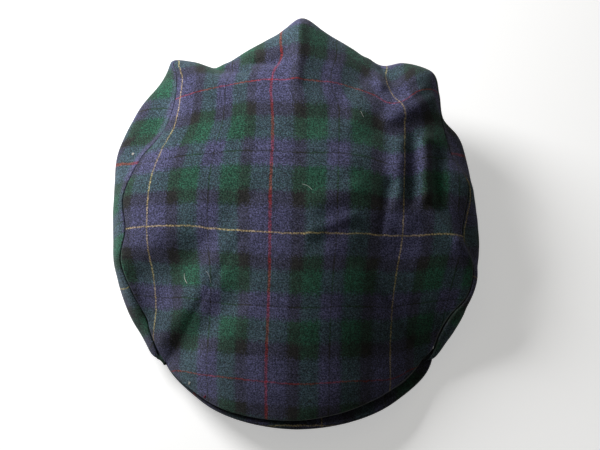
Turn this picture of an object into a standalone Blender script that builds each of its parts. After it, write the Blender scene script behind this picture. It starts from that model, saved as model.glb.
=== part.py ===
"""A wool flat cap lying on its hem, in metres, +Z up.

The peak points to -Y and the back of the crown to +Y. The crown is sewn from a long top panel and
two side panels that meet at the centre back. The front edge of the top panel lies on the peak, a
little behind the peak's own edge. The back of the crown stands in three soft points.

The seams run in a ring round the crown. The top panel falls to that ring from its summit, and each
side panel goes from it over its widest line and down to the hem.
"""

import math
from collections import namedtuple

import bmesh
import bpy
import numpy as np

# Overall sizes of the crown and the peak
CAP_LENGTH = 0.271
CROWN_WIDTH = 0.244
CROWN_HEIGHT = 0.088
TOP_HEIGHT = 0.083
TOP_SLOPE = 0.06

# The head opening, measured inside the hem
OPENING_LENGTH = 0.190
OPENING_WIDTH = 0.166
HEM_STAND = 0.005

# The peak, a bent board covered in cloth
PEAK_REACH = 0.050
PEAK_THICKNESS = 0.0036
PEAK_CREST = 0.026
PEAK_CREST_BACK = 0.031
PEAK_SIDE_LIFT = 0.0042
PEAK_TAPER = 0.045
PEAK_LIP = 0.006
PEAK_EDGE_ROUND = 0.0014

# Cloth and seams
CLOTH = 0.0018
SEAM_GAP = 0.0006
TIP_GAP = 0.0012
BACK_SEAM_GAP = 0.0008
SEAT_GAP = 0.0003

# Bearings round the head opening, from the front centre: the end of the crown's front seam, where
# the crown's lower edge leaves the peak, where it reaches the hem's level, and the peak's tip
CORNER_BEARING = math.radians(42)
OFF_PEAK_BEARING = math.radians(50)
HEM_BEARING = math.radians(60)
PEAK_TIP_BEARING = math.radians(70)
HEM_SHUT_BEARING = math.radians(80)

# How much of the first third of a side panel keeps to the slope of the top panel at their seam
TURN_SHARE = 0.3
# At the tips, the lowest that a side panel is widest, as a share of the way from its lower edge to
# its seam, and how far up to there its hem stands straight
ROLL_SHARE = 0.45
STAND_SHARE = 0.4
# How roundly a side panel turns at its widest line and in to its hem, as shares of its own height
UPPER_TURN = 0.33
LOWER_TURN = 0.43
HEM_TURN = 0.10
HEM_INWARDS = 0.30
# How the top panel's rows crowd towards its seam, and the last share of them that no fold reaches
ROW_CROWDING = 1.35
FOLD_FREE_SHARE = 0.25
# How far from the centre back seam the next facets start, as a share of the way round the crown
BACK_STRIP = 0.003

# How many facets each surface has
FRONT_COLUMNS = 26
SIDE_COLUMNS = 82
TOP_ROWS = 14
WALL_ROWS = 9
PEAK_COLUMNS = 44
PEAK_ROWS = 5
# Places a curve is drawn through between two given points, and columns averaged to each side
# where the top panel smooths out towards its summit
CURVE_STEPS = 12
SMOOTHED_COLUMNS = 10
# Columns at each tip of a side panel over which its seam opens
TIP_COLUMNS = 5
# How the nearest point of the head opening is found
NEAREST_TRIES = 12
NEAREST_STEP = 0.6

HALF_LENGTH = CAP_LENGTH / 2
HALF_WIDTH = CROWN_WIDTH / 2
OPENING_CENTRE_Y = -HALF_LENGTH + PEAK_REACH + OPENING_LENGTH / 2
# The top of the crown, from which its surface falls to every seam
SUMMIT_ACROSS = 0.0
SUMMIT_ALONG = 0.20

# One row for each section through the crown, from the right corner of the peak round the back to
# the left corner. Places are shares of half the width, half the length and the crown's height.
# seam is the line between the top and side panels, and roll is the widest line of the side panel.
# brow is how far the top panel stands above its seam just inside it, brow_in how far inside that
# is, and shoulder how far out the top keeps to the slope of its summit. The last two are shares of
# the way from the summit to the seam.
Section = namedtuple(
    "Section",
    "place seam_across seam_along seam_height roll_across roll_along roll_height"
    " brow brow_in shoulder",
)
SECTIONS = [
    Section("right tip", 0.73, -0.60, 0.21, 0.745, -0.63, 0.10, 0.17, 0.09, 0.56),
    Section("right of the tip", 0.765, -0.53, 0.27, 0.812, -0.55, 0.15, 0.15, 0.10, 0.54),
    Section("right front", 0.82, -0.455, 0.34, 0.88, -0.47, 0.23, 0.12, 0.12, 0.50),
    Section("right temple", 0.92, -0.365, 0.41, 0.94, -0.37, 0.28, 0.13, 0.12, 0.50),
    Section("right swell", 0.95, -0.235, 0.47, 0.985, -0.225, 0.34, 0.15, 0.12, 0.50),
    Section("right tuck", 0.89, -0.08, 0.55, 0.995, -0.05, 0.38, 0.13, 0.11, 0.50),
    Section("right side", 0.94, 0.15, 0.60, 0.985, 0.14, 0.45, 0.14, 0.10, 0.50),
    Section("right rear side", 0.85, 0.29, 0.64, 0.96, 0.30, 0.49, 0.13, 0.09, 0.50),
    Section("right rear swell", 0.815, 0.41, 0.66, 0.915, 0.43, 0.52, 0.12, 0.08, 0.52),
    Section("right rear turn", 0.795, 0.52, 0.65, 0.805, 0.54, 0.53, 0.13, 0.06, 0.55),
    Section("right corner side", 0.785, 0.64, 0.66, 0.79, 0.66, 0.50, 0.19, 0.04, 0.60),
    Section("right corner", 0.75, 0.755, 0.68, 0.765, 0.775, 0.48, 0.20, 0.03, 0.62),
    Section("right back", 0.60, 0.81, 0.66, 0.615, 0.82, 0.46, 0.15, 0.03, 0.60),
    Section("right dent", 0.47, 0.80, 0.65, 0.48, 0.80, 0.44, 0.12, 0.03, 0.58),
    Section("right flank", 0.29, 0.87, 0.75, 0.30, 0.87, 0.48, 0.15, 0.03, 0.60),
    Section("right of the point", 0.16, 0.925, 0.82, 0.16, 0.925, 0.52, 0.17, 0.03, 0.61),
    Section("back point", 0.03, 0.985, 0.88, 0.03, 0.98, 0.55, 0.22, 0.035, 0.62),
    Section("left of the point", -0.10, 0.915, 0.82, -0.10, 0.915, 0.52, 0.16, 0.03, 0.61),
    Section("left flank", -0.26, 0.855, 0.75, -0.27, 0.86, 0.48, 0.15, 0.03, 0.60),
    Section("left dent", -0.45, 0.78, 0.66, -0.46, 0.79, 0.44, 0.12, 0.03, 0.58),
    Section("left back", -0.58, 0.805, 0.70, -0.60, 0.82, 0.46, 0.13, 0.03, 0.60),
    Section("left corner", -0.685, 0.78, 0.76, -0.725, 0.79, 0.52, 0.11, 0.04, 0.60),
    Section("left corner side", -0.655, 0.665, 0.80, -0.79, 0.68, 0.60, 0.07, 0.07, 0.58),
    Section("left rear turn", -0.665, 0.54, 0.78, -0.87, 0.58, 0.56, 0.08, 0.08, 0.55),
    Section("left rear side", -0.72, 0.40, 0.75, -0.96, 0.41, 0.53, 0.10, 0.09, 0.52),
    Section("left shoulder", -0.845, 0.265, 0.69, -0.995, 0.295, 0.50, 0.12, 0.10, 0.50),
    Section("left side", -0.93, 0.09, 0.63, -1.00, 0.08, 0.45, 0.13, 0.11, 0.50),
    Section("left tuck", -0.915, -0.07, 0.58, -0.995, -0.08, 0.40, 0.14, 0.12, 0.50),
    Section("left swell", -0.94, -0.21, 0.50, -0.985, -0.195, 0.36, 0.15, 0.12, 0.50),
    Section("left temple", -0.88, -0.345, 0.42, -0.945, -0.335, 0.29, 0.13, 0.12, 0.50),
    Section("left front", -0.805, -0.46, 0.31, -0.885, -0.46, 0.21, 0.12, 0.11, 0.50),
    Section("left of the tip", -0.79, -0.51, 0.27, -0.842, -0.52, 0.16, 0.15, 0.10, 0.54),
    Section("left tip", -0.75, -0.595, 0.21, -0.770, -0.625, 0.10, 0.17, 0.09, 0.56),
]

# The front edge of the top panel, from the left corner of the peak to the right one. bearing is a
# share of CORNER_BEARING, and lip is how much of the peak shows, as a share of PEAK_LIP.
FrontSection = namedtuple("FrontSection", "place bearing lip brow brow_in shoulder")
FRONT_SECTIONS = [
    FrontSection("left corner of the peak", -1.0, 0.05, 0.19, 0.08, 0.56),
    FrontSection("left of the front", -0.5, 0.70, 0.10, 0.03, 0.46),
    FrontSection("front", 0.0, 0.90, 0.08, 0.02, 0.44),
    FrontSection("right of the front", 0.5, 1.15, 0.10, 0.03, 0.46),
    FrontSection("right corner of the peak", 1.0, 1.15, 0.19, 0.08, 0.56),
]

# How far the peak stands out from the head opening on each side. bearing is a share of
# PEAK_TIP_BEARING and the reaches are shares of PEAK_REACH.
PeakSection = namedtuple("PeakSection", "place bearing left_reach right_reach")
PEAK_SECTIONS = [
    PeakSection("front", 0.0, 1.0, 1.0),
    PeakSection("beside the front", 0.29, 0.975, 0.99),
    PeakSection("before the corner", 0.43, 0.92, 0.955),
    PeakSection("corner", 0.60, 0.84, 0.89),
    PeakSection("behind the corner", 0.71, 0.69, 0.71),
    PeakSection("side", 0.86, 0.33, 0.33),
    PeakSection("tip", 1.0, 0.09, 0.09),
]

# Soft folds in the top panel, each along a line from one place to another. rise is a share of the
# crown's height, and half_width is a share of half the crown's width.
Fold = namedtuple("Fold", "place from_across from_along to_across to_along half_width rise")
FOLDS = [
    Fold("ridge of the right corner", 0.72, 0.70, 0.54, 0.55, 0.060, 0.045),
    Fold("hollow inside the right corner", 0.52, 0.72, 0.54, 0.62, 0.070, -0.040),
    Fold("inner right ridge", 0.50, 0.44, 0.49, 0.12, 0.045, 0.022),
    Fold("right valley", 0.58, 0.46, 0.585, 0.10, 0.045, -0.026),
    Fold("outer right ridge", 0.68, 0.46, 0.66, 0.08, 0.050, 0.034),
    Fold("right front ridge", 0.72, 0.04, 0.90, -0.18, 0.055, 0.024),
    Fold("dimple on the right", 0.50, 0.10, 0.47, 0.02, 0.030, -0.022),
    Fold("crease on the right", 0.10, -0.02, 0.33, 0.06, 0.050, 0.014),
    Fold("valley on the left", -0.90, -0.13, -0.50, -0.02, 0.080, -0.034),
    Fold("ridge on the left front", -0.80, -0.24, -0.86, -0.42, 0.070, 0.024),
    Fold("valley on the left front", -0.74, -0.48, -0.50, -0.32, 0.080, -0.034),
    Fold("crease inside the left dent", -0.42, 0.72, -0.16, 0.74, 0.060, -0.026),
]


def opening_point(bearing, outwards=0.0):
    """A point in plan at this bearing round the head opening, so far outside it."""
    half_width = OPENING_WIDTH / 2
    half_length = OPENING_LENGTH / 2
    on_edge = np.array(
        [half_width * math.sin(bearing), OPENING_CENTRE_Y - half_length * math.cos(bearing)]
    )
    outward = np.array([math.sin(bearing) / half_width, -math.cos(bearing) / half_length])
    return on_edge + outwards * outward / np.linalg.norm(outward)


def opening_bearing(x, y):
    """The bearing of the head opening's nearest point to a place in plan."""
    half_width = OPENING_WIDTH / 2
    half_length = OPENING_LENGTH / 2
    bearing = math.atan2(x / half_width, (OPENING_CENTRE_Y - y) / half_length)
    for _ in range(NEAREST_TRIES):
        along = np.array([half_width * math.cos(bearing), half_length * math.sin(bearing)])
        away = np.array([x, y]) - opening_point(bearing)
        bearing += NEAREST_STEP * float(away @ along / (along @ along))
    return bearing


def peak_reach(bearing):
    """How far the peak stands out from the head opening at a bearing, which is left if below 0."""
    rows = []
    for row in PEAK_SECTIONS:
        rows.append([row.bearing, row.left_reach if bearing < 0 else row.right_reach, 0])
    curve = through(rows, np.linspace(0, 1, len(rows) * CURVE_STEPS))
    share = min(1.0, abs(bearing) / PEAK_TIP_BEARING)
    return PEAK_REACH * float(np.interp(share, curve[:, 0], curve[:, 1]))


def peak_spread(x, y):
    """How far out on the bent peak a place in plan is, in metres at the front of the peak."""
    back = max(0.0, (y + HALF_LENGTH) / PEAK_REACH)
    return abs(x) / (1 - PEAK_TAPER * back)


def peak_half_width():
    """Half the width over which the peak is bent, to the outermost place of its edge."""
    bearings = np.linspace(-PEAK_TIP_BEARING, PEAK_TIP_BEARING, PEAK_COLUMNS + 1)
    edge = [opening_point(bearing, peak_reach(bearing)) for bearing in bearings]
    return max(peak_spread(x, y) for x, y in edge)


def peak_top(x, y):
    """The height of the peak's upper face at a place in plan."""
    back = min(1.0, max(0.0, (y + HALF_LENGTH) / PEAK_REACH))
    crest = PEAK_CREST + (PEAK_CREST_BACK - PEAK_CREST) * back
    bend = min(1.0, peak_spread(x, y) / PEAK_HALF_WIDTH) ** 2
    return crest + (PEAK_SIDE_LIFT - crest) * bend


def crown_foot(bearing, lip):
    """Where the crown's lower edge stands: on the peak at the front, and round it on its hem."""
    reach = peak_reach(bearing)
    turned = abs(bearing)
    leaving = smooth_step((turned - CORNER_BEARING) / (OFF_PEAK_BEARING - CORNER_BEARING))
    beside_peak = reach + CLOTH + SEAM_GAP
    out = (reach - lip) * (1 - leaving) + beside_peak * leaving
    shut = smooth_step((turned - PEAK_TIP_BEARING) / (HEM_SHUT_BEARING - PEAK_TIP_BEARING))
    out = out * (1 - shut) + CLOTH * shut
    x, y = opening_point(bearing, out)
    under = peak_top(*opening_point(bearing, out - CLOTH)) + SEAT_GAP + CLOTH * (1 - leaving)
    lowered = smooth_step((turned - OFF_PEAK_BEARING) / (HEM_BEARING - OFF_PEAK_BEARING))
    return np.array([x, y, under * (1 - lowered)])


def smooth_step(share):
    """From 0 to 1 with no corner at either end."""
    share = min(1.0, max(0.0, share))
    return share * share * (3 - 2 * share)


def through(points, shares):
    """Rows at these shares of the length of a smooth curve through the points."""
    points = np.array(points, float)
    padded = np.vstack([2 * points[0] - points[1], points, 2 * points[-1] - points[-2]])
    fine = []
    for i in range(1, len(padded) - 2):
        before, start, end, after = padded[i - 1 : i + 3]
        for t in np.linspace(0, 1, CURVE_STEPS, endpoint=False):
            fine.append(
                0.5
                * (
                    2 * start
                    + (end - before) * t
                    + (2 * before - 5 * start + 4 * end - after) * t**2
                    + (3 * start - before - 3 * end + after) * t**3
                )
            )
    fine.append(padded[-2])
    fine = np.array(fine)
    steps = np.linalg.norm(np.diff(fine[:, :3], axis=0), axis=1)
    along = np.concatenate([[0], np.cumsum(steps)])
    wanted = np.array(shares) * along[-1]
    return np.column_stack([np.interp(wanted, along, column) for column in fine.T])


def placed(across, along, height):
    """A place given in shares of the crown's sizes."""
    return [across * HALF_WIDTH, along * HALF_LENGTH, height * CROWN_HEIGHT]


def summit_point():
    """The middle of the top panel, from which its rows spread to the seams."""
    across, along, _ = placed(SUMMIT_ACROSS, SUMMIT_ALONG, 0)
    return [across, along, TOP_HEIGHT + fold_height(across, along)]


def smoothed(ring):
    """Each point of a closed ring averaged with its neighbours."""
    near = range(-SMOOTHED_COLUMNS, SMOOTHED_COLUMNS + 1)
    return np.mean([np.roll(ring, step, axis=0) for step in near], axis=0)


def front_columns():
    """Seam and shape values along the front edge of the top panel, from left to right."""
    bearings = np.linspace(-1, 1, FRONT_COLUMNS + 1)
    given = [row.bearing for row in FRONT_SECTIONS]
    columns = []
    for share in bearings:
        lip = PEAK_LIP * np.interp(share, given, [row.lip for row in FRONT_SECTIONS])
        foot = crown_foot(share * CORNER_BEARING, lip)
        shape = [
            np.interp(share, given, [getattr(row, name) for row in FRONT_SECTIONS])
            for name in ("brow", "brow_in", "shoulder")
        ]
        columns.append(np.concatenate([foot, shape]))
    return columns


def side_columns(front):
    """Seam, roll and shape values from the right corner of the peak round the back to the left."""
    rows = []
    for section in SECTIONS:
        rows.append(
            placed(section.seam_across, section.seam_along, section.seam_height)
            + placed(section.roll_across, section.roll_along, section.roll_height)
            + [section.brow, section.brow_in, section.shoulder]
        )
    right, left = front[-1], front[0]
    first = np.concatenate([right[:3], right[:3], right[3:]])
    last = np.concatenate([left[:3], left[:3], left[3:]])
    even = np.linspace(0, 1, SIDE_COLUMNS + 1)
    beside_back = [0.5 - BACK_STRIP, 0.5 + BACK_STRIP]
    return through([first, *rows, last], np.sort(np.concatenate([even, beside_back])))


def bezier(controls, t):
    """A point on the curve drawn from the first of these points to the last."""
    points = np.array(controls)
    while len(points) > 1:
        points = points[:-1] * (1 - t) + points[1:] * t
    return points[0]


def fold_height(x, y):
    """How far the folds lift the top panel at a place in plan."""
    total = 0.0
    place = np.array([x, y])
    for fold in FOLDS:
        start = np.array([fold.from_across * HALF_WIDTH, fold.from_along * HALF_LENGTH])
        run = np.array([fold.to_across * HALF_WIDTH, fold.to_along * HALF_LENGTH]) - start
        share = float(np.clip((place - start) @ run / (run @ run), 0, 1))
        away = np.linalg.norm(place - start - share * run) / (fold.half_width * HALF_WIDTH)
        total += fold.rise * CROWN_HEIGHT * math.exp(-(away**2))
    return total


def top_profile(seam, smooth_seam, shape):
    """Points of the top panel from its summit down to one place on its seam."""
    brow, brow_in, shoulder = shape
    summit = np.array(summit_point())
    shoulder_point = summit + (smooth_seam - summit) * shoulder
    shoulder_point[2] = summit[2] + TOP_SLOPE * (shoulder_point[1] - summit[1])
    lift = np.array([0, 0, brow * CROWN_HEIGHT])
    smooth_brow = smooth_seam - (smooth_seam - summit) * [brow_in, brow_in, 0] + lift
    brow_point = seam - (seam - summit) * [brow_in, brow_in, 0] + lift
    controls = [
        summit,
        summit * 0.25 + shoulder_point * 0.75,
        (shoulder_point + smooth_brow) / 2,
        smooth_brow * 0.25 + brow_point * 0.5 + seam * 0.25,
        seam,
    ]
    points = []
    for share in np.linspace(0, 1, TOP_ROWS + 1)[1:]:
        point = bezier(controls, 1 - (1 - share) ** ROW_CROWDING)
        point[2] += fold_height(point[0], point[1]) * smooth_step((1 - share) / FOLD_FREE_SHARE)
        points.append(point)
    return points


def wall_profile(seam, roll, before_seam, gap):
    """Points of a side panel from its seam, over its widest line, down to its lower edge."""
    bearing = opening_bearing(roll[0], roll[1])
    foot = crown_foot(bearing, PEAK_LIP)
    lowest_roll = foot[2] + (seam[2] - foot[2]) * ROLL_SHARE
    roll = np.array([roll[0], roll[1], max(roll[2], lowest_roll)])
    stand = foot + [0, 0, min(HEM_STAND, (roll[2] - foot[2]) * STAND_SHARE)]
    down = np.array([0, 0, -1.0])
    fall = (seam - before_seam) / np.linalg.norm(seam - before_seam)
    upper = np.linalg.norm(roll - seam) * UPPER_TURN
    lower = np.linalg.norm(stand - roll)
    start = seam + fall * gap
    turn = start + fall * upper * TURN_SHARE
    past_turn = turn + fall * upper * (1 - TURN_SHARE)
    above_hem = stand + (roll - stand) * [HEM_INWARDS, HEM_INWARDS, 0] - down * lower * HEM_TURN
    upper_rows = WALL_ROWS // 3
    lower_rows = WALL_ROWS - upper_rows - 2
    points = [start]
    for share in np.linspace(0, 1, upper_rows, endpoint=False):
        points.append(bezier([turn, past_turn, roll - down * upper, roll], share))
    for share in np.linspace(0, 1, lower_rows + 1):
        points.append(bezier([roll, roll + down * lower * LOWER_TURN, above_hem, stand], share))
    points.append(foot)
    return points


def material(name, colour, roughness):
    """A plain cloth finish."""
    made = bpy.data.materials.new(name)
    made.use_nodes = True
    shader = made.node_tree.nodes["Principled BSDF"]
    shader.inputs["Base Color"].default_value = (*colour, 1)
    shader.inputs["Roughness"].default_value = roughness
    shader.inputs["Metallic"].default_value = 0
    return made


def lofted(name, columns, closed, cap_first, finish, thickness, collection):
    """An open surface through columns of points, given the thickness of the cloth."""
    shape = bmesh.new()
    grid = [[shape.verts.new(point) for point in column] for column in columns]
    pairs = list(zip(grid, grid[1:] + grid[:1])) if closed else list(zip(grid, grid[1:]))
    for near, far in pairs:
        for row in range(len(near) - 1):
            shape.faces.new([near[row], near[row + 1], far[row + 1], far[row]])
    if cap_first is not None:
        middle = shape.verts.new(cap_first)
        for near, far in pairs:
            shape.faces.new([middle, near[0], far[0]])
    mesh = bpy.data.meshes.new(name)
    shape.normal_update()
    shape.to_mesh(mesh)
    shape.free()
    mesh.shade_smooth()
    made = bpy.data.objects.new(name, mesh)
    made.data.materials.append(finish)
    collection.objects.link(made)
    wall = made.modifiers.new("cloth thickness", "SOLIDIFY")
    wall.thickness = thickness
    wall.offset = -1
    return made


PEAK_HALF_WIDTH = peak_half_width()


def make_crown(finishes, collection):
    """The top panel and the two side panels."""
    front = front_columns()
    side = side_columns(front)
    columns = [(column[:3], column[3:]) for column in front]
    columns += [(column[:3], column[6:]) for column in side[1:-1]]
    smooth = smoothed([seam for seam, _ in columns])
    profiles = [top_profile(seam, near, shape) for (seam, shape), near in zip(columns, smooth)]
    side_profiles = profiles[len(front) :]
    lofted(
        "top_panel",
        profiles,
        True,
        summit_point(),
        finishes["top"],
        CLOTH,
        collection,
    )
    walls = []
    for i, (column, profile) in enumerate(zip(side[1:-1], side_profiles)):
        from_tip = min(i, len(side_profiles) - 1 - i)
        gap = SEAM_GAP + TIP_GAP * max(0.0, 1 - from_tip / TIP_COLUMNS)
        walls.append(wall_profile(column[:3], column[3:6], profile[-2], gap))
    middle = len(walls) // 2
    right, left = walls[: middle + 1], walls[middle:]
    right[-1] = beside(right[-1], right[-2])
    left[0] = beside(left[0], left[1])
    lofted("side_panel_right", right, False, None, finishes["side"], CLOTH, collection)
    lofted("side_panel_left", left, False, None, finishes["side"], CLOTH, collection)


def beside(column, neighbour):
    """A column moved half the back seam's gap towards its neighbour."""
    moved = []
    for point, other in zip(column, neighbour):
        step = other - point
        moved.append(point + step / np.linalg.norm(step) * BACK_SEAM_GAP / 2)
    return moved


def make_peak(finishes, collection):
    """The peak, a curved board between the head opening and its own outer edge."""
    columns = []
    for bearing in np.linspace(-PEAK_TIP_BEARING, PEAK_TIP_BEARING, PEAK_COLUMNS + 1):
        column = []
        for share in np.linspace(0, 1, PEAK_ROWS + 1):
            x, y = opening_point(bearing, share * peak_reach(bearing))
            column.append([x, y, peak_top(x, y)])
        columns.append(column)
    peak = lofted("peak", columns, False, None, finishes["peak"], PEAK_THICKNESS, collection)
    rounded = peak.modifiers.new("rounded edge", "BEVEL")
    rounded.width = PEAK_EDGE_ROUND
    rounded.segments = 2
    rounded.limit_method = "ANGLE"
    rounded.angle_limit = math.radians(50)


def centre_on_origin(collection):
    """Moves the pieces together so that the middle of the cap's box stands on the origin."""
    graph = bpy.context.evaluated_depsgraph_get()
    corners = []
    for piece in collection.objects:
        corners += [tuple(corner) for corner in piece.evaluated_get(graph).bound_box]
    low = np.min(corners, axis=0)
    high = np.max(corners, axis=0)
    for piece in collection.objects:
        piece.location = (-(low[0] + high[0]) / 2, -(low[1] + high[1]) / 2, -low[2])


def main():
    for existing in list(bpy.data.objects):
        bpy.data.objects.remove(existing)
    collection = bpy.data.collections.new("flat_cap")
    bpy.context.scene.collection.children.link(collection)
    finishes = {
        "top": material("tartan wool, top", (0.045, 0.075, 0.085), 0.95),
        "side": material("tartan wool, side", (0.04, 0.065, 0.075), 0.95),
        "peak": material("tartan wool, peak", (0.035, 0.055, 0.065), 0.95),
    }
    make_crown(finishes, collection)
    make_peak(finishes, collection)
    centre_on_origin(collection)


main()
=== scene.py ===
"""The dressed flat cap: tartan wool panels with their folds and sewn seams, the covered peak, a
few bits of lint, and a pale stage. Everything is in metres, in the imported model's own frame."""

import math
from collections import namedtuple

import bpy
import numpy as np
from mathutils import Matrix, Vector, noise
from mathutils.bvhtree import BVHTree


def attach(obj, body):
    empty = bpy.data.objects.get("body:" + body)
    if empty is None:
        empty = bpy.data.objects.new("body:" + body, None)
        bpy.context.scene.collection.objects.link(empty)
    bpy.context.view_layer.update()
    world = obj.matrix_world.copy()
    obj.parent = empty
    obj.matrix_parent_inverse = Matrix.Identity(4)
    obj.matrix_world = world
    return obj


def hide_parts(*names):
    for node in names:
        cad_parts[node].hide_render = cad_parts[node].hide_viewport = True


bl_info = {
    "name": "Tartan flat cap",
    "version": (1, 0, 0),
    "blender": (4, 5, 0),
    "location": "View3D > Sidebar > Flat cap",
    "description": "Makes the wool panels, the peak, the lint and the stage of a tartan flat cap",
    "category": "Object",
}

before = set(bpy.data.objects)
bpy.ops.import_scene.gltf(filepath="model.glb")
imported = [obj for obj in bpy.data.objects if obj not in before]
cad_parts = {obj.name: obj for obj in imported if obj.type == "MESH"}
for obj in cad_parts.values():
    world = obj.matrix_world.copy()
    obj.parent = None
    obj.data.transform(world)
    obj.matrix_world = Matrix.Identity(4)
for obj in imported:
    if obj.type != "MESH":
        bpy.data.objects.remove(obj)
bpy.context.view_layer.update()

# The cap's sizes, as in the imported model
CAP_LENGTH = 0.271
CROWN_WIDTH = 0.244
CROWN_HEIGHT = 0.088
TOP_HEIGHT = 0.083
TOP_SLOPE = 0.06
OPENING_LENGTH = 0.190
OPENING_WIDTH = 0.166
HEM_STAND = 0.005
PEAK_REACH = 0.050
PEAK_THICKNESS = 0.0036
PEAK_CREST = 0.026
PEAK_CREST_BACK = 0.031
PEAK_SIDE_LIFT = 0.0042
PEAK_TAPER = 0.045
PEAK_LIP = 0.006
CLOTH = 0.0018
SEAM_GAP = 0.0006
TIP_GAP = 0.0012
SEAT_GAP = 0.0003

# The seam at the centre back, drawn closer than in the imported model, and the cloth's least height
BACK_SEAM_GAP = 0.0003
BACK_SEAM_DEPTH = 0.0024
BACK_SEAM_SHUT = 0.9
LOWEST_CLOTH = 0.0004

# Bearings round the head opening from the front, in the order in which the crown's lower edge
# leaves the peak, comes down to the hem and closes in behind the peak's tip
CORNER_BEARING = math.radians(42)
OFF_PEAK_BEARING = math.radians(50)
HEM_BEARING = math.radians(60)
PEAK_TIP_BEARING = math.radians(70)
HEM_SHUT_BEARING = math.radians(80)

# Shares that give the side panels their curves, how the top panel's rows crowd towards its seam,
# and the last shares of them in which folds and creases fade
TURN_SHARE = 0.3
ROLL_SHARE = 0.45
STAND_SHARE = 0.4
UPPER_TURN = 0.33
LOWER_TURN = 0.43
HEM_TURN = 0.10
HEM_INWARDS = 0.30
ROW_CROWDING = 1.35
FOLD_FREE_SHARE = 0.25
CREASE_FREE_SHARE = 0.08

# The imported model's middle stands on the origin, this far from the place that its sizes give
CENTRE_SHIFT = np.array([0.000317, -0.000144, 0.0])

# How finely the cloth is divided
FRONT_COLUMNS = 104
SIDE_COLUMNS = 328
TOP_ROWS = 84
UPPER_WALL_ROWS = 12
LOWER_WALL_ROWS = 22
PEAK_COLUMNS = 150
PEAK_ROWS = 26
CURVE_STEPS = 24
SMOOTHED_COLUMNS = 40
BLENDED_COLUMNS = 5
TIP_COLUMNS = 20
TAPERED_COLUMNS = 9
TURN_STEPS = 6

# How the nearest bearing is sought, and how much of a column of points its edge may be drawn in
NEAREST_TRIES = 12
NEAREST_STEP = 0.6
MOST_DRAWN_IN = 0.5

# The top panel's curves: how near the shoulder its first bend is, and the parts that the smoothed
# brow, the brow and the seam have in its last bend
FLAT_SHARE = 0.75
BROW_PARTS = (0.25, 0.5, 0.25)

# Small waves: where in the noise each kind of panel lies, the shares of its rows over which they
# grow from its first edge and fade to its last, and the height and fineness of the finer ones
TOP_WAVES_AT = 3.0
SIDE_WAVES_AT = 7.0
WAVES_GROW = 0.12
WAVES_FADE = 0.08
FINE_WAVES = 0.35
FINE_WAVE_SCALE = 2.7

# Wear along the seams, and painted shade inside them past OPEN_SEAM_ROWS: rows from the edge, and
# shares of half the width and half the length
EDGE_ROWS = 3
EDGE_WEAR = 1.2
OPEN_SEAM_ROWS = 2
LEAST_WORN = 0.12
WORN_FROM = -0.3
WORN_TO_ALONG = 0.7
WORN_FADE = 0.5

# Past this far from its middle lines, in half setts, the top panel's cloth follows the slope
SLOPE_FROM = 0.92
SLOPE_FADE = 0.2
MOST_STRETCH = 4

# Loose fibres: their bow is a share of their length, and their lift of their thickness
FIBRE_POINTS = 9
FIBRE_SIDES = 5
FIBRE_BOW = 0.12
FIBRE_SEED = 11
FIBRE_LIFT = 0.4
FIBRES_A_LAYER = 8
FIBRE_ROUGHNESS = 0.8

HALF_LENGTH = CAP_LENGTH / 2
HALF_WIDTH = CROWN_WIDTH / 2
OPENING_HALF_LENGTH = OPENING_LENGTH / 2
OPENING_HALF_WIDTH = OPENING_WIDTH / 2
OPENING_CENTRE_Y = -HALF_LENGTH + PEAK_REACH + OPENING_HALF_LENGTH
SUMMIT_ACROSS = 0.0
SUMMIT_ALONG = 0.20

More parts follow.
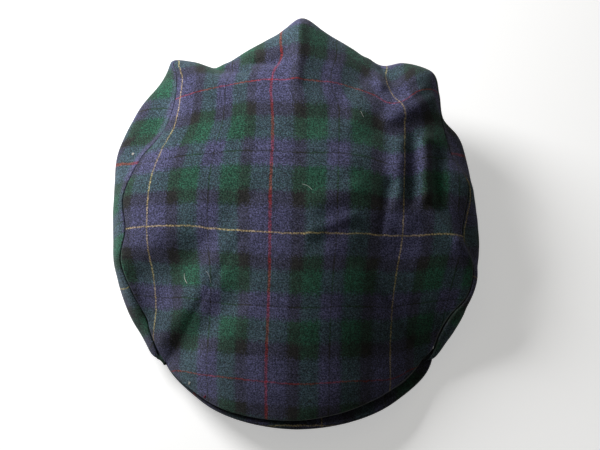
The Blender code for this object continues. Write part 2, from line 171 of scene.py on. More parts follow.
# Sections through the crown, from the right corner of the peak round the back to the left one.
# Places are shares of half the width, half the length and the crown's height.
Section = namedtuple(
    "Section",
    "place seam_across seam_along seam_height roll_across roll_along roll_height"
    " brow brow_in shoulder",
)
SECTIONS = [
    Section("right tip", 0.73, -0.60, 0.21, 0.745, -0.63, 0.10, 0.17, 0.09, 0.56),
    Section("right of the tip", 0.765, -0.53, 0.27, 0.812, -0.55, 0.15, 0.15, 0.10, 0.54),
    Section("right front", 0.82, -0.455, 0.34, 0.88, -0.47, 0.23, 0.12, 0.12, 0.50),
    Section("right temple", 0.915, -0.365, 0.41, 0.93, -0.37, 0.28, 0.13, 0.12, 0.50),
    Section("right swell", 0.945, -0.235, 0.47, 0.978, -0.225, 0.34, 0.15, 0.12, 0.50),
    Section("right tuck", 0.89, -0.08, 0.55, 0.995, -0.05, 0.38, 0.13, 0.11, 0.50),
    Section("right side", 0.93, 0.15, 0.60, 0.970, 0.14, 0.45, 0.14, 0.10, 0.50),
    Section("right rear side", 0.85, 0.29, 0.64, 0.94, 0.30, 0.49, 0.13, 0.09, 0.50),
    Section("right rear swell", 0.815, 0.41, 0.66, 0.90, 0.43, 0.52, 0.12, 0.08, 0.52),
    Section("right rear turn", 0.795, 0.52, 0.65, 0.805, 0.54, 0.53, 0.13, 0.06, 0.55),
    Section("right corner side", 0.785, 0.64, 0.66, 0.79, 0.66, 0.50, 0.19, 0.04, 0.60),
    Section("right corner", 0.75, 0.755, 0.68, 0.765, 0.775, 0.48, 0.20, 0.03, 0.62),
    Section("right back", 0.60, 0.81, 0.66, 0.615, 0.82, 0.46, 0.15, 0.03, 0.60),
    Section("right dent", 0.47, 0.80, 0.65, 0.48, 0.80, 0.44, 0.12, 0.03, 0.58),
    Section("right flank", 0.29, 0.87, 0.75, 0.30, 0.87, 0.48, 0.15, 0.03, 0.60),
    Section("right of the point", 0.16, 0.925, 0.82, 0.16, 0.925, 0.52, 0.17, 0.03, 0.61),
    Section("back point", 0.03, 0.985, 0.88, 0.03, 0.98, 0.55, 0.22, 0.035, 0.62),
    Section("left of the point", -0.10, 0.915, 0.82, -0.10, 0.915, 0.52, 0.16, 0.03, 0.61),
    Section("left flank", -0.26, 0.855, 0.75, -0.27, 0.86, 0.48, 0.15, 0.03, 0.60),
    Section("left dent", -0.45, 0.78, 0.66, -0.46, 0.79, 0.44, 0.12, 0.03, 0.58),
    Section("left back", -0.58, 0.805, 0.70, -0.60, 0.82, 0.46, 0.13, 0.03, 0.60),
    Section("left corner", -0.675, 0.78, 0.76, -0.70, 0.79, 0.52, 0.11, 0.04, 0.60),
    Section("left corner side", -0.655, 0.665, 0.80, -0.775, 0.68, 0.60, 0.07, 0.07, 0.58),
    Section("left rear turn", -0.665, 0.54, 0.78, -0.87, 0.58, 0.56, 0.08, 0.08, 0.55),
    Section("left rear side", -0.72, 0.40, 0.75, -0.96, 0.41, 0.53, 0.10, 0.09, 0.52),
    Section("left shoulder", -0.845, 0.265, 0.69, -0.995, 0.295, 0.50, 0.12, 0.10, 0.50),
    Section("left side", -0.93, 0.09, 0.63, -1.00, 0.08, 0.45, 0.13, 0.11, 0.50),
    Section("left tuck", -0.915, -0.07, 0.58, -0.995, -0.08, 0.40, 0.14, 0.12, 0.50),
    Section("left swell", -0.94, -0.21, 0.50, -0.985, -0.195, 0.36, 0.15, 0.12, 0.50),
    Section("left temple", -0.88, -0.345, 0.42, -0.945, -0.335, 0.29, 0.13, 0.12, 0.50),
    Section("left front", -0.805, -0.46, 0.31, -0.885, -0.46, 0.21, 0.12, 0.11, 0.50),
    Section("left of the tip", -0.79, -0.51, 0.27, -0.842, -0.52, 0.16, 0.15, 0.10, 0.54),
    Section("left tip", -0.75, -0.595, 0.21, -0.770, -0.625, 0.10, 0.17, 0.09, 0.56),
]

# The front edge of the top panel, from left to right: shares of CORNER_BEARING and PEAK_LIP
FrontSection = namedtuple("FrontSection", "place bearing lip brow brow_in shoulder")
FRONT_SECTIONS = [
    FrontSection("left corner of the peak", -1.0, 0.05, 0.19, 0.08, 0.56),
    FrontSection("left of the front", -0.5, 0.35, 0.10, 0.03, 0.46),
    FrontSection("front", 0.0, 0.75, 0.08, 0.02, 0.44),
    FrontSection("right of the front", 0.5, 1.15, 0.10, 0.03, 0.46),
    FrontSection("right corner of the peak", 1.0, 1.15, 0.19, 0.08, 0.56),
]

# How far the peak stands out on each side: shares of PEAK_TIP_BEARING and PEAK_REACH
PeakSection = namedtuple("PeakSection", "place bearing left_reach right_reach")
PEAK_SECTIONS = [
    PeakSection("front", 0.0, 1.0, 1.0),
    PeakSection("beside the front", 0.29, 0.975, 0.99),
    PeakSection("before the corner", 0.43, 0.92, 0.955),
    PeakSection("corner", 0.60, 0.84, 0.89),
    PeakSection("behind the corner", 0.71, 0.69, 0.71),
    PeakSection("side", 0.86, 0.33, 0.33),
    PeakSection("tip", 1.0, 0.09, 0.09),
]

# Folds in the top panel, each from one place to another. rise is a share of the crown's height,
# and half_width a share of half its width.
Fold = namedtuple("Fold", "place from_across from_along to_across to_along half_width rise")
FOLDS = [
    Fold("ridge of the right corner", 0.76, 0.57, 0.51, 0.43, 0.055, 0.036),
    Fold("hollow inside the right corner", 0.52, 0.72, 0.55, 0.60, 0.070, -0.030),
    Fold("inner right ridge", 0.55, 0.30, 0.53, 0.02, 0.040, 0.020),
    Fold("right valley", 0.625, 0.34, 0.615, 0.04, 0.040, -0.030),
    Fold("outer right ridge", 0.70, 0.34, 0.69, 0.06, 0.042, 0.032),
    Fold("right front ridge", 0.72, 0.04, 0.90, -0.18, 0.055, 0.024),
    Fold("dimple on the right", 0.50, 0.10, 0.47, 0.02, 0.030, -0.022),
    Fold("crease on the right", 0.10, -0.02, 0.33, 0.06, 0.050, 0.014),
    Fold("valley on the left", -0.90, -0.30, -0.55, -0.22, 0.090, -0.036),
    Fold("ridge on the left front", -0.70, -0.56, -0.50, -0.41, 0.065, 0.023),
    Fold("valley on the left front", -0.57, -0.61, -0.33, -0.44, 0.080, -0.034),
    Fold("crease inside the left dent", -0.42, 0.72, -0.16, 0.74, 0.060, -0.026),
]
# Finer creases that only the cloth shows
CREASES = [
    Fold("crease below the left dent", -0.45, 0.76, -0.28, 0.685, 0.018, -0.016),
    Fold("lip of that crease", -0.44, 0.80, -0.26, 0.72, 0.022, 0.010),
    Fold("crease beside the point", -0.225, 0.74, -0.114, 0.72, 0.018, -0.014),
    Fold("end of that crease", -0.114, 0.72, -0.075, 0.77, 0.018, -0.012),
    Fold("ridge from the back point", 0.02, 0.92, 0.00, 0.62, 0.032, 0.020),
    Fold("edge of the centre ridge", 0.40, 0.80, 0.46, 0.62, 0.030, 0.026),
    Fold("hollow by the yellow line", 0.47, -0.20, 0.47, -0.62, 0.210, -0.044),
    Fold("hollow inside the right ridges", 0.49, 0.42, 0.47, 0.12, 0.100, -0.018),
    Fold("lip at the right dent", 0.445, 0.75, 0.50, 0.655, 0.018, 0.011),
    Fold("crease at the right dent", 0.47, 0.745, 0.53, 0.66, 0.022, -0.013),
    Fold("flank right of the centre", 0.46, 0.64, 0.41, 0.44, 0.120, -0.024),
    Fold("hollow outside the right ridges", 0.765, 0.28, 0.75, 0.02, 0.054, -0.032),
    Fold("fold at the right corner", 0.56, 0.52, 0.70, 0.63, 0.022, 0.010),
    Fold("crease right of the middle", 0.07, -0.155, 0.30, -0.065, 0.022, 0.013),
    Fold("hollow before that crease", 0.09, -0.205, 0.32, -0.115, 0.024, -0.010),
    Fold("dimple crease", 0.475, 0.00, 0.437, -0.13, 0.017, -0.016),
    Fold("soft ridge to the right seam", 0.72, -0.01, 0.86, -0.14, 0.030, 0.018),
    Fold("end of that ridge", 0.86, -0.14, 0.94, -0.20, 0.026, 0.014),
]

# How the cloth lies on the top panel: where its three bright warp lines cross each place along,
# and where its three bright weft lines cross each place across, as shares of half the width and
# half the length.
WarpLay = namedtuple("WarpLay", "along left_yellow red right_yellow")
WARP_LAY = [
    WarpLay(-1.00, -0.79, -0.160, 0.50),
    WarpLay(-0.76, -0.79, -0.158, 0.50),
    WarpLay(-0.58, -0.775, -0.150, 0.50),
    WarpLay(-0.43, -0.755, -0.144, 0.51),
    WarpLay(-0.30, -0.765, -0.139, 0.53),
    WarpLay(-0.15, -0.795, -0.138, 0.56),
    WarpLay(0.05, -0.795, -0.136, 0.57),
    WarpLay(0.17, -0.775, -0.132, 0.575),
    WarpLay(0.29, -0.730, -0.128, 0.58),
    WarpLay(0.39, -0.670, -0.128, 0.585),
    WarpLay(0.49, -0.645, -0.134, 0.585),
    WarpLay(0.58, -0.635, -0.140, 0.525),
    WarpLay(0.67, -0.630, -0.125, 0.505),
    WarpLay(0.76, -0.660, -0.085, 0.52),
    WarpLay(0.86, -0.670, -0.090, 0.54),
    WarpLay(1.00, -0.680, -0.078, 0.56),
]
WeftLay = namedtuple("WeftLay", "across front_red yellow rear_red")
WEFT_LAY = [
    WeftLay(-1.00, -0.66, -0.070, 0.55),
    WeftLay(-0.80, -0.68, -0.080, 0.56),
    WeftLay(-0.62, -0.715, -0.092, 0.57),
    WeftLay(-0.54, -0.74, -0.100, 0.583),
    WeftLay(-0.45, -0.762, -0.115, 0.592),
    WeftLay(-0.30, -0.787, -0.137, 0.622),
    WeftLay(-0.14, -0.808, -0.155, 0.624),
    WeftLay(0.03, -0.819, -0.162, 0.611),
    WeftLay(0.24, -0.800, -0.150, 0.608),
    WeftLay(0.41, -0.780, -0.138, 0.564),
    WeftLay(0.50, -0.765, -0.137, 0.520),
    WeftLay(0.58, -0.750, -0.135, 0.535),
    WeftLay(0.66, -0.740, -0.132, 0.595),
    WeftLay(0.78, -0.720, -0.120, 0.645),
    WeftLay(1.00, -0.700, -0.120, 0.66),
]

# How the cloth lies on each side panel: where along the cap its red warp line and the middle of its
# bow are, the weft place at its seam there, how far that moves as the seam bends away, and how much
# of the panel's width is left at its tip
WallLay = namedtuple("WallLay", "side red_at middle weft_start bow tip_width")
WALL_LAYS = [
    WallLay("right", 0.043, 0.005, 0.992, 0.37, 1.0),
    WallLay("left", 0.034, 0.050, -0.46, 0.09, 0.15),
]
WALL_LAY_ROW = 6
# On the peak, where the red warp line and the yellow weft line are, and the warp's half sett
PEAK_RED_X = -0.066
PEAK_YELLOW_Y = -0.1332
PEAK_SETT = 0.082

# The sett from a red line to a yellow one, where it turns back: each stripe starts at a share of
# the way, and is blue where it is neither black nor green. A thin black line stands at BLACK_LINE.
BLACK_LINE = 0.4985
Stripe = namedtuple("Stripe", "start black green")
SETT = [
    Stripe(0.0, 0, 0),
    Stripe(0.160, 1, 0),
    Stripe(0.260, 0, 1),
    Stripe(0.411, 0, 0),
    Stripe(0.586, 0, 1),
    Stripe(0.743, 1, 0),
    Stripe(0.843, 0, 0),
]

# Bits that lie on the cloth, each of some fibres from one place to another. Where both places are
# the same, the fibres lie round it in a tuft of TUFT_WIDTH, and the three values below are shares
# of that width.
TUFT_WIDTH = 0.0016
TUFT_SPREAD = 0.25
SHORTEST_FIBRE = 0.5
LONGEST_FIBRE = 1.0
Bit = namedtuple("Bit", "place from_across from_along to_across to_along fibres thickness colour")
BITS = [
    Bit("tuft on the left panel", -0.887, 0.310, -0.887, 0.310, 30, 0.00016, "lint"),
    Bit("tuft on the left front", -0.564, -0.772, -0.564, -0.772, 26, 0.00016, "lint"),
    Bit("red tuft on the left front", -0.478, -0.840, -0.478, -0.840, 9, 0.00016, "red"),
    Bit("short hair on the left", -0.588, -0.295, -0.571, -0.345, 1, 0.00028, "lint"),
    Bit("fine hair on the left", -0.470, -0.300, -0.445, -0.356, 1, 0.00009, "lint"),
    Bit("hair in the middle", 0.032, 0.068, 0.084, 0.041, 1, 0.00014, "lint"),
    Bit("hair behind the middle", 0.345, 0.455, 0.360, 0.425, 1, 0.00012, "lint"),
]

# The weave. Noise has a scale and a detail, and a tone how far it ranges and its least. The bright
# lines' half widths are in threads, the red one's along the warp and along the weft.
YARNS = ("Blue", "Black", "Green", "Red", "Yellow")
YARN_SOCKETS = dict.fromkeys(YARNS, "Color")
WANDER_NOISE = (26.0, 2.0)
FEATHER_NOISE = (120.0, 2.0)
RED_LINE_THREADS = (2.0, 1.0)
YELLOW_LINE_THREADS = 1.0
TWILL_THREADS = 4
THREAD_TONE = (0.36, 0.82)
THREAD_CONTRAST = 0.25
THREAD_HEIGHT = 0.45

# The nap of the brushed wool
FIBRE_NOISE = (1200.0, 1.0)
CLUMP_NOISE = (420.0, 2.0)
CLOUD_NOISE = (38.0, 3.0)
ENDS_NOISE = (1700.0, 1.0)
SPECKLE = 5.5
LEAST_SPECKLE = 0.35
CLUMP_TONE = (0.7, 0.65)
CLOUD_TONE = (0.3, 0.85)
FUZZ_AMOUNT = 0.3
FIBRE_ENDS = {"From Min": 0.5, "From Max": 0.75}
ROUGHNESS = (0.1, 0.86)
NAP_BUMP = {"Strength": 0.6, "Distance": 0.0004}
WOOL = {
    "Specular IOR Level": 0.12,
    "Sheen Weight": 0.18,
    "Sheen Roughness": 0.6,
    "Sheen Tint": (0.75, 0.8, 0.9, 1),
}

# The wear and the painted shade, and how much of the wear and of the yarns' colours each kind of
# piece has. The peak keeps less of its yarns' colours: that darkening is painted shade, as if the
# crown shaded the peak.
RUBBED_NOISE = (240.0, 3.0)
MOST_RUBBED = 0.85
# Painted shade: inside the seams the cloth's colour is multiplied by this, as if no light got in
SEAM_PAINTED_SHADE = (0.1, 0.1, 0.1, 1.0)
WearAndShade = namedtuple("WearAndShade", "worn depth")
# depth multiplies the yarns' colours; the peak's 0.42 is painted shade from the crown above it
WEAR_AND_SHADE = {"top": WearAndShade(1.3, 1.0), "side": WearAndShade(0.6, 1.0), "peak": WearAndShade(0.4, 0.42)}

# The stage
FLOOR_REACH = 4
FLOOR_ROUGHNESS = 0.9
FLOOR_GLOW = 0.45
STUDIO_COLOUR = (1, 0.95, 0.78, 1)
STUDIO_STRENGTH = 0.03
VIEW_TARGET = Vector((0.0026, -0.0002, 0.035))
Light = namedtuple("Light", "name place size power colour")
LIGHTS = [
    Light("key light", (-0.60, 0.50, 0.50), 0.45, "key_power", (1, 1, 1)),
    Light("fill light", (-0.1, 0.1, 1.9), 1.6, "fill_power", (1, 0.96, 0.80)),
]


def unit(vectors):
    """The same directions, one metre long."""
    return vectors / np.maximum(np.linalg.norm(vectors, axis=-1, keepdims=True), 1e-9)


def smooth_step(share):
    """From 0 to 1 with no corner at either end."""
    share = np.clip(share, 0, 1)
    return share * share * (3 - 2 * share)


def travelled(points, axis=0):
    """How far each point is along its row of points."""
    steps = np.linalg.norm(np.diff(points, axis=axis), axis=-1)
    start = np.zeros_like(np.take(steps, [0], axis))
    return np.concatenate([start, np.cumsum(steps, axis=axis)], axis=axis)


def through(points, shares):
    """Rows at these shares of the length of a smooth curve through the points."""
    points = np.array(points, float)
    padded = np.vstack([2 * points[0] - points[1], points, 2 * points[-1] - points[-2]])
    fine = []
    for i in range(1, len(padded) - 2):
        before, start, end, after = padded[i - 1 : i + 3]
        for t in np.linspace(0, 1, CURVE_STEPS, endpoint=False):
            twice = 2 * start + (end - before) * t
            twice = twice + (2 * before - 5 * start + 4 * end - after) * t**2
            fine.append(0.5 * (twice + (3 * start - before - 3 * end + after) * t**3))
    fine.append(padded[-2])
    fine = np.array(fine)
    along = travelled(fine[:, :3])
    wanted = np.array(shares) * along[-1]
    return np.column_stack([np.interp(wanted, along, column) for column in fine.T])


def bezier(controls, shares):
    """Points at these shares along each curve drawn by a row of control points."""
    points = np.asarray(controls, float)[..., :, None, :]
    t = np.asarray(shares)[:, None]
    while points.shape[-3] > 1:
        points = points[..., :-1, :, :] * (1 - t) + points[..., 1:, :, :] * t
    return points[..., 0, :, :]


def opening_point(bearing, outwards=0.0):
    """A point in plan at this bearing round the head opening, so far outside it."""
    across, along = math.sin(bearing), -math.cos(bearing)
    y = OPENING_CENTRE_Y + OPENING_HALF_LENGTH * along
    on_edge = np.array([OPENING_HALF_WIDTH * across, y])
    outward = np.array([across / OPENING_HALF_WIDTH, along / OPENING_HALF_LENGTH])
    return on_edge + outwards * outward / np.linalg.norm(outward)


def opening_bearing(x, y):
    """The bearing of the head opening's nearest point to a place in plan."""
    half_sizes = np.array([OPENING_HALF_WIDTH, OPENING_HALF_LENGTH])
    bearing = math.atan2(x / OPENING_HALF_WIDTH, (OPENING_CENTRE_Y - y) / OPENING_HALF_LENGTH)
    for _ in range(NEAREST_TRIES):
        along = half_sizes * [math.cos(bearing), math.sin(bearing)]
        away = np.array([x, y]) - opening_point(bearing)
        bearing += NEAREST_STEP * float(away @ along / (along @ along))
    return bearing


def reach_curve(side):
    """Bearing shares and reach shares of the peak's edge on one side, finely divided."""
    rows = [[row.bearing, getattr(row, side), 0] for row in PEAK_SECTIONS]
    return through(rows, np.linspace(0, 1, len(rows) * CURVE_STEPS))


LEFT_REACH = reach_curve("left_reach")
RIGHT_REACH = reach_curve("right_reach")


def peak_reach(bearing):
    """How far the peak stands out from the head opening at a bearing, which is left if below 0."""
    curve = LEFT_REACH if bearing < 0 else RIGHT_REACH
    share = min(1.0, abs(bearing) / PEAK_TIP_BEARING)
    return PEAK_REACH * float(np.interp(share, curve[:, 0], curve[:, 1]))


def peak_spread(x, y):
    """How far out on the bent peak a place in plan is, in metres at the front of the peak."""
    back = max(0.0, (y + HALF_LENGTH) / PEAK_REACH)
    return abs(x) / (1 - PEAK_TAPER * back)


def peak_half_width():
    """Half the width over which the peak is bent, to the outermost place of its edge."""
    bearings = np.linspace(-PEAK_TIP_BEARING, PEAK_TIP_BEARING, PEAK_COLUMNS + 1)
    edge = [opening_point(bearing, peak_reach(bearing)) for bearing in bearings]
    return max(peak_spread(x, y) for x, y in edge)


PEAK_HALF_WIDTH = peak_half_width()


def peak_top(x, y):
    """The height of the peak's upper face at a place in plan."""
    back = min(1.0, max(0.0, (y + HALF_LENGTH) / PEAK_REACH))
    crest = PEAK_CREST + (PEAK_CREST_BACK - PEAK_CREST) * back
    bend = min(1.0, peak_spread(x, y) / PEAK_HALF_WIDTH) ** 2
    return crest + (PEAK_SIDE_LIFT - crest) * bend


def crown_foot(bearing, lip):
    """Where the crown's lower edge stands: on the peak at the front, and round it on its hem."""
    reach = peak_reach(bearing)
    turned = abs(bearing)
    leaving = smooth_step((turned - CORNER_BEARING) / (OFF_PEAK_BEARING - CORNER_BEARING))
    beside_peak = reach + CLOTH + SEAM_GAP
    out = (reach - lip) * (1 - leaving) + beside_peak * leaving
    shut = smooth_step((turned - PEAK_TIP_BEARING) / (HEM_SHUT_BEARING - PEAK_TIP_BEARING))
    out = out * (1 - shut) + CLOTH * shut
    x, y = opening_point(bearing, out)
    under = peak_top(*opening_point(bearing, out - CLOTH)) + SEAT_GAP + CLOTH * (1 - leaving)
    lowered = smooth_step((turned - OFF_PEAK_BEARING) / (HEM_BEARING - OFF_PEAK_BEARING))
    return np.array([x, y, under * (1 - lowered)])


def placed(across, along, height):
    """A place given in shares of the crown's sizes."""
    return [across * HALF_WIDTH, along * HALF_LENGTH, height * CROWN_HEIGHT]


def fold_height(x, y, folds):
    """How far these folds lift the top panel at places in plan."""
    total = np.zeros_like(np.asarray(x, float))
    for fold in folds:
        start = np.array(placed(fold.from_across, fold.from_along, 0))
        run = np.array(placed(fold.to_across, fold.to_along, 0)) - start
        share = np.clip(((x - start[0]) * run[0] + (y - start[1]) * run[1]) / (run @ run), 0, 1)
        away = np.hypot(x - start[0] - share * run[0], y - start[1] - share * run[1])
        half_width = fold.half_width * HALF_WIDTH
        total = total + fold.rise * CROWN_HEIGHT * np.exp(-((away / half_width) ** 2))
    return total


def summit_point():
    """The middle of the top panel, from which its rows spread to the seams."""
    across, along, _ = placed(SUMMIT_ACROSS, SUMMIT_ALONG, 0)
    return np.array([across, along, TOP_HEIGHT + float(fold_height(across, along, FOLDS))])


def smoothed(ring, reach=SMOOTHED_COLUMNS):
    """Each point of a closed ring averaged with its neighbours."""
    near = range(-reach, reach + 1)
    return np.mean([np.roll(ring, step, axis=0) for step in near], axis=0)


def front_columns():
    """Seam and shape values along the front edge of the top panel, from left to right."""
    given = [row.bearing for row in FRONT_SECTIONS]
    columns = []
    for share in np.linspace(-1, 1, FRONT_COLUMNS + 1):
        values = {
            name: np.interp(share, given, [getattr(row, name) for row in FRONT_SECTIONS])
            for name in ("lip", "brow", "brow_in", "shoulder")
        }
        foot = crown_foot(share * CORNER_BEARING, PEAK_LIP * values["lip"])
        columns.append([*foot, values["brow"], values["brow_in"], values["shoulder"]])
    return np.array(columns)


def side_columns(front):
    """Seam, roll and shape values from the right corner of the peak round the back to the left."""
    rows = [placed(*row[1:4]) + placed(*row[4:7]) + list(row[7:]) for row in SECTIONS]
    right, left = front[-1], front[0]
    first = np.concatenate([right[:3], right[:3], right[3:]])
    last = np.concatenate([left[:3], left[:3], left[3:]])
    return through([first, *rows, last], np.linspace(0, 1, SIDE_COLUMNS + 1))


def top_surface(seam, shape):
    """The top panel's surface, a column of points from the summit to each place on its seam."""
    summit = summit_point()
    smooth_seam = smoothed(seam)
    brow, brow_in = smoothed(shape[:, :2], BLENDED_COLUMNS).T[:, :, None]
    shoulder = smoothed(smoothed(shape[:, 2:]))
    shoulder_point = summit + (smooth_seam - summit) * shoulder
    shoulder_point[:, 2] = summit[2] + TOP_SLOPE * (shoulder_point[:, 1] - summit[1])
    lift = brow * [0, 0, CROWN_HEIGHT]
    inwards = brow_in * [1, 1, 0]
    smooth_brow = smooth_seam - (smooth_seam - summit) * inwards + lift
    brow_point = seam - (seam - summit) * inwards + lift
    controls = [
        np.broadcast_to(summit, seam.shape),
        summit * (1 - FLAT_SHARE) + shoulder_point * FLAT_SHARE,
        (shoulder_point + smooth_brow) / 2,
        sum(part * point for part, point in zip(BROW_PARTS, (smooth_brow, brow_point, seam))),
        seam,
    ]
    shares = np.linspace(0, 1, TOP_ROWS + 1)[1:]
    grid = bezier(np.stack(controls, axis=1), 1 - (1 - shares) ** ROW_CROWDING)
    x, y = grid[..., 0], grid[..., 1]
    for folds, free_share in ((FOLDS, FOLD_FREE_SHARE), (CREASES, CREASE_FREE_SHARE)):
        grid[..., 2] += fold_height(x, y, folds) * smooth_step((1 - shares) / free_share)
    return grid


def wall_column(seam, roll, fall, gap):
    """Points of a side panel from its seam, over its widest line, down to its lower edge."""
    foot = crown_foot(opening_bearing(roll[0], roll[1]), PEAK_LIP)
    lowest_roll = foot[2] + (seam[2] - foot[2]) * ROLL_SHARE
    roll = np.array([roll[0], roll[1], max(roll[2], lowest_roll)])
    stand = foot + [0, 0, min(HEM_STAND, (roll[2] - foot[2]) * STAND_SHARE)]
    down = np.array([0, 0, -1.0])
    upper = np.linalg.norm(roll - seam) * UPPER_TURN
    lower = np.linalg.norm(stand - roll)
    start = seam + fall * gap
    turn = start + fall * upper * TURN_SHARE
    past_turn = turn + fall * upper * (1 - TURN_SHARE)
    above_hem = stand + (roll - stand) * [HEM_INWARDS, HEM_INWARDS, 0] - down * lower * HEM_TURN
    upper_shares = np.linspace(0, 1, UPPER_WALL_ROWS, endpoint=False)
    lower_shares = np.linspace(0, 1, LOWER_WALL_ROWS)
    over = bezier([turn, past_turn, roll - down * upper, roll], upper_shares)
    under = bezier([roll, roll + down * lower * LOWER_TURN, above_hem, stand], lower_shares)
    return np.vstack([[start], over, under, [foot]])


def crown_surfaces():
    """The surfaces of the top panel and of the right and left side panels."""
    front = front_columns()
    side = side_columns(front)
    seam = np.vstack([front[:, :3], side[1:-1, :3]])
    shape = np.vstack([front[:, 3:], side[1:-1, 6:]])
    top = top_surface(seam, shape)
    falls = unit(top[len(front) :, -1] - top[len(front) :, -3])
    walls = []
    for i, (column, fall) in enumerate(zip(side[1:-1], falls)):
        from_tip = min(i, len(falls) - 1 - i)
        gap = SEAM_GAP + TIP_GAP * max(0.0, 1 - from_tip / TIP_COLUMNS)
        walls.append(wall_column(column[:3], column[3:6], fall, gap))
    walls = np.array(walls)
    middle = len(walls) // 2
    right, left = walls[: middle + 1].copy(), walls[middle:].copy()
    right[-1] += unit(right[-2] - right[-1]) * BACK_SEAM_GAP / 2
    left[0] += unit(left[1] - left[0]) * BACK_SEAM_GAP / 2
    return top, right, left


def tapered(grid, tip_last, tip_width):
    """A side panel that narrows to its seam at the tip beside the peak."""
    from_tip = np.arange(len(grid))[::-1] if tip_last else np.arange(len(grid))
    width = tip_width + (1 - tip_width) * smooth_step((from_tip + 1) / TAPERED_COLUMNS)
    return grid[:, :1] + (grid - grid[:, :1]) * width[:, None, None]


def drawn_in(grid, length):
    """The same surface with its last edge drawn in by a length."""
    columns = []
    for column in grid:
        along = travelled(column)
        wanted = along * (1 - min(MOST_DRAWN_IN, length / along[-1]))
        columns.append([np.interp(wanted, along, values) for values in column.T])
    return np.array(columns).transpose(0, 2, 1)


def turned_under(grid, cloth, radius, depth, closed):
    """The surface and its cloth places, with the last edge turned over and down into a seam."""
    grid = drawn_in(grid, radius)
    edge = grid[:, -1]
    fall = unit(edge - grid[:, -3])
    ring = np.roll(edge, -1, 0) - np.roll(edge, 1, 0) if closed else np.gradient(edge, axis=0)
    outwards = unit(np.cross(fall, ring))
    rows = []
    for turn in np.linspace(0, math.pi / 2, TURN_STEPS + 1)[1:]:
        rows.append(edge + radius * (fall * math.sin(turn) - outwards * (1 - math.cos(turn))))
    rows.append(rows[-1] - outwards * depth)
    grid = np.concatenate([grid, np.stack(rows, axis=1)], axis=1)
    last = np.linalg.norm(edge - grid[:, -len(rows) - 2], axis=1)
    slope = (cloth[:, -1] - cloth[:, -2]) / np.maximum(last, 1e-5)[:, None]
    along = travelled(grid[:, -len(rows) - 1 :], 1)[:, 1:]
    beyond = cloth[:, -1:] + slope[:, None, :] * along[..., None]
    return grid, np.concatenate([cloth, beyond], axis=1)


def lay_of(x, y):
    """Warp and weft places of the cloth at places in plan, in half setts. Red warp is 0, and the
    bright weft lines are 0, 1 and 2 from the front."""
    shares = np.linspace(0, 1, len(WARP_LAY) * CURVE_STEPS)
    warp = through(WARP_LAY, shares)
    weft = through(WEFT_LAY, shares)
    along, across = y / HALF_LENGTH, x / HALF_WIDTH
    left, red, right = [np.interp(along, warp[:, 0], warp[:, i]) for i in (1, 2, 3)]
    front, yellow, rear = [np.interp(across, weft[:, 0], weft[:, i]) for i in (1, 2, 3)]
    warp_place = (across - red) / np.where(across < red, red - left, right - red)
    weft_place = 1 + (along - yellow) / np.where(along < yellow, yellow - front, rear - yellow)
    return np.stack([warp_place, weft_place], axis=-1)


def top_cloth(grid):
    """Cloth places on the top panel. Past its outer bright lines the cloth follows the slope."""
    lay = lay_of(grid[..., 0], grid[..., 1])
    steps = np.diff(lay, axis=1)
    moved = np.diff(grid, axis=1)
    flat = np.linalg.norm(moved[..., :2], axis=-1)
    stretch = np.clip(np.linalg.norm(moved, axis=-1) / np.maximum(flat, 1e-6), 1, MOST_STRETCH)
    from_middle = np.abs(lay[:, 1:] - [0, 1]).max(axis=-1)
    outer = smooth_step((from_middle - SLOPE_FROM) / SLOPE_FADE)
    steps = steps * (1 + (stretch - 1) * outer)[..., None]
    return np.concatenate([lay[:, :1], lay[:, :1] + np.cumsum(steps, axis=1)], axis=1)


def nearest_column(grid, y):
    """The column of a side panel whose seam passes this place along the cap."""
    return int(np.argmin(np.abs(grid[:, 0, 1] - y)))


def wall_cloth(grid, lay, sizes):
    """Cloth places on a side panel: warp lines go up it, and weft lines along it in a bow."""
    along = travelled(grid[:, WALL_LAY_ROW])
    down = travelled(grid, 1)
    from_red = along - along[nearest_column(grid, lay.red_at)]
    from_middle = along - along[nearest_column(grid, lay.middle)]
    warp = from_red[:, None] / sizes.warp_half_sett + np.zeros_like(down)
    bow = lay.bow * (from_middle / sizes.weft_half_sett) ** 2
    return np.stack([warp, lay.weft_start + bow[:, None] + down / sizes.weft_half_sett], axis=-1)


def wrinkled(grid, height, pitch, seed):
    """The surface with small soft waves along its own normals, fading at both edges."""
    ring = np.gradient(grid, axis=0)
    fall = np.gradient(grid, axis=1)
    normals = unit(np.cross(fall, ring))
    rows = np.linspace(0, 1, grid.shape[1])
    fade = smooth_step(rows / WAVES_GROW) * smooth_step((1 - rows) / WAVES_FADE)
    waves = np.zeros(grid.shape[:2])
    for i, column in enumerate(grid):
        for j, point in enumerate(column):
            place = Vector(point) / pitch + Vector((seed, seed * 2, 0))
            waves[i, j] = noise.noise(place) + FINE_WAVES * noise.noise(place * FINE_WAVE_SCALE)
    return grid + normals * (waves * fade * height)[..., None]


def seam_wear_and_painted_shade(grid, edge_row, inwards):
    """1 where a panel turns into its seam, falling to 0 a few rows off and less on the left and at
    the back, where the edge is hardly worn, and -1 inside the seam, beyond that row inwards, where
    the colour is darkened as painted shade."""
    rows = (np.arange(grid.shape[1]) - edge_row) * inwards
    across = smooth_step((grid[:, edge_row, 0] / HALF_WIDTH - WORN_FROM) / WORN_FADE)
    along = smooth_step((WORN_TO_ALONG - grid[:, edge_row, 1] / HALF_LENGTH) / WORN_FADE)
    worn = LEAST_WORN + (1 - LEAST_WORN) * across * along
    value = worn[:, None] * np.clip(EDGE_WEAR - np.abs(rows) / EDGE_ROWS, 0, 1)
    return np.where(rows > OPEN_SEAM_ROWS, -1.0, value)


